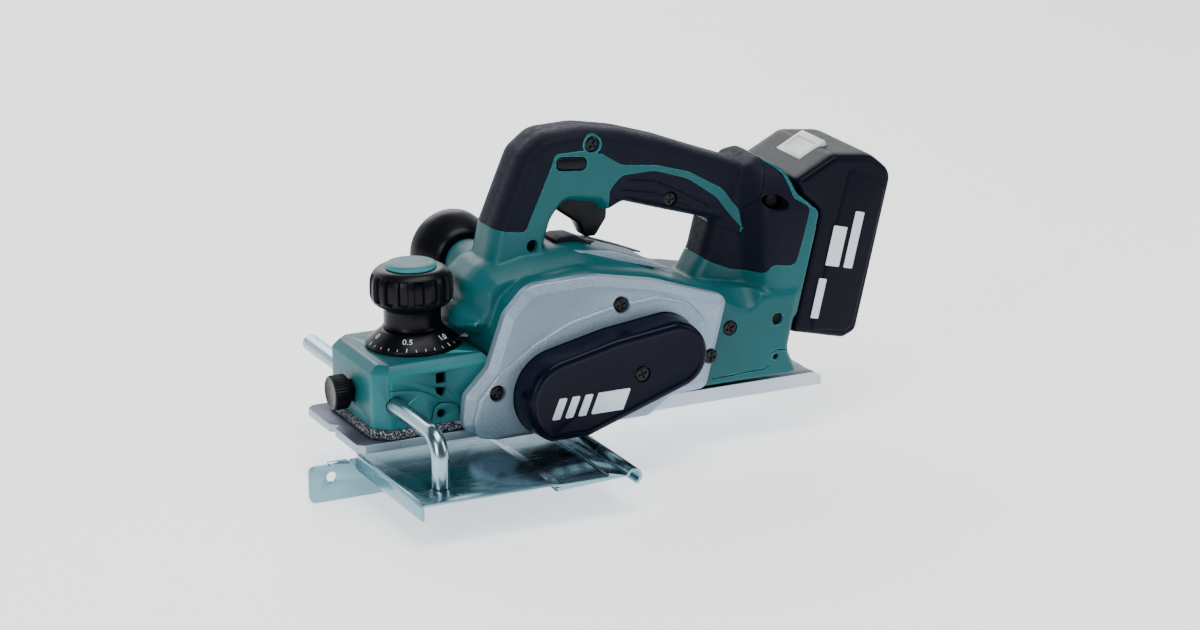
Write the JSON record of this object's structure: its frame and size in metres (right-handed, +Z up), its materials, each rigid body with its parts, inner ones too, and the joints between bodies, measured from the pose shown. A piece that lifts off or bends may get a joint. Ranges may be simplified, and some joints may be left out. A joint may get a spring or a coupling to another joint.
{
  "type": "electric hand planer",
  "caption": "Cordless hand planer with a depth knob, closed-loop grip, belt drive, slide-in battery and an adjustable edge fence.",
  "frame": {"origin": "on the rear sole, at mid width of the shoes, just behind the cutter drum", "axes": "+X towards the rear (battery end), the planer works towards -X; +Z up from the sole; -Y is the belt-cover and fence side"},
  "size_m": [0.3641, 0.2175, 0.1914],
  "materials": {
    "teal": "satin moulded plastic",
    "rubber": "matt soft over-mould, dark navy",
    "black": "gloss black moulding",
    "silver": "fine speckled silver paint",
    "aluminium": "machined casting",
    "zinc": "bright zinc plating",
    "steel": "ground steel",
    "copper": "laminations and windings, simplified",
    "foam": "dark open foam strip",
    "cells": "sleeved cells",
    "grey": "pale moulded button",
    "screw": "black screws"
  },
  "bodies": {
    "planer_body": {"rear_base": "aluminium", "drum_bearing_left": "steel", "drum_bearing_right": "steel", "motor_bearing_left": "steel", "motor_bearing_right": "steel", "drive_belt": "rubber", "motor_can": "steel", "side_cover": "silver", "belt_cover": "black", "bearing_box": "silver", "housing_left": "teal", "housing_right": "teal", "grip_left": "rubber", "grip_right": "rubber", "pad_left": "rubber", "pad_right": "rubber", "collar_left": "rubber", "collar_right": "rubber", "chip_duct": "black", "chip_nozzle": "black", "vent_trim": "rubber", "side_trim_left": "silver", "side_trim_right": "silver", "front_bracket": "teal", "foam_seal": "foam", "dial_pointer": "silver", "switch_body": "black", "terminal_block": "black", "screw_cover_top": "screw", "screw_cover_front": "screw", "screw_cover_rear": "screw", "screw_belt_cover": "screw", "screw_handle_front": "screw", "screw_handle_rear": "screw", "screw_body": "screw"},
    "shoe": {"front_shoe": "aluminium"},
    "knob": {"depth_dial": "black", "knob_grip": "black", "knob_cap": "teal", "depth_spindle": "steel"},
    "drum": {"cutter_drum": "steel", "blade_a": "steel", "blade_b": "steel", "blade_clamp_a": "steel", "blade_clamp_b": "steel", "drum_pulley": "steel"},
    "rotor": {"motor_rotor": "copper", "motor_fan": "black", "motor_pulley": "steel"},
    "fence": {"guide_rod": "zinc", "guide_fence": "zinc"},
    "clamp": {"clamp_screw": "black"},
    "trigger": {"trigger": "black"},
    "lock": {"lock_button": "black"},
    "battery": {"battery_case": "black", "cell_pack": "cells"},
    "battery_release": {"release_button": "grey"},
    "foot": {"rest_foot": "black"}
  },
  "joints": [
    {"name": "drum_spin", "type": "hinge", "parent": "planer_body", "child": "drum", "pos_m": [-0.034, 0, 0.0241], "axis": [0, 1, 0], "continuous": true},
    {"name": "rotor_spin", "type": "hinge", "parent": "planer_body", "child": "rotor", "pos_m": [0.032, 0, 0.041], "axis": [0, 1, 0], "continuous": true},
    {"name": "knob_turn", "type": "hinge", "parent": "planer_body", "child": "knob", "pos_m": [-0.0994, 0, 0.05], "axis": [0, 0, 1], "range_deg": [-60.5, 180.5]},
    {"name": "shoe_slide", "type": "slide", "parent": "planer_body", "child": "shoe", "axis": [0, 0, 1], "range_m": [-0.0015, 0.0005], "deforming": ["foam_seal"]},
    {"name": "fence_slide", "type": "slide", "parent": "planer_body", "child": "fence", "axis": [0, 1, 0], "range_m": [-0.08, 0.05]},
    {"name": "clamp_turn", "type": "hinge", "parent": "planer_body", "child": "clamp", "pos_m": [-0.1455, 0, 0.026], "axis": [1, 0, 0], "range_deg": [-180, 180]},
    {"name": "trigger_pull", "type": "hinge", "parent": "planer_body", "child": "trigger", "pos_m": [0.002, 0, 0.131], "axis": [0, -1, 0], "range_deg": [0, 12], "stiffness_Nm_per_rad": 0.4, "springref_deg": -14.32},
    {"name": "lock_press", "type": "slide", "parent": "planer_body", "child": "lock", "axis": [0, 1, 0], "range_m": [0, 0.004], "stiffness_N_per_m": 400, "springref_m": -0.004},
    {"name": "battery_slide", "type": "slide", "parent": "planer_body", "child": "battery", "axis": [0.2419, 0, 0.9703], "range_m": [0, 0.085]},
    {"name": "release_press", "type": "slide", "parent": "battery", "child": "battery_release", "axis": [0.45, 0, -0.893], "range_m": [0, 0.003], "stiffness_N_per_m": 800, "springref_m": -0.003},
    {"name": "foot_swing", "type": "hinge", "parent": "planer_body", "child": "foot", "pos_m": [0.122, 0.0295, 0.009], "axis": [0, 1, 0], "range_deg": [0, 30]}
  ],
  "couplings": [
    {"joint": "rotor_spin", "follows": "drum_spin", "ratio": 1.6},
    {"joint": "knob_turn", "follows": "shoe_slide", "rad_per_m": -2094.4}
  ]
}
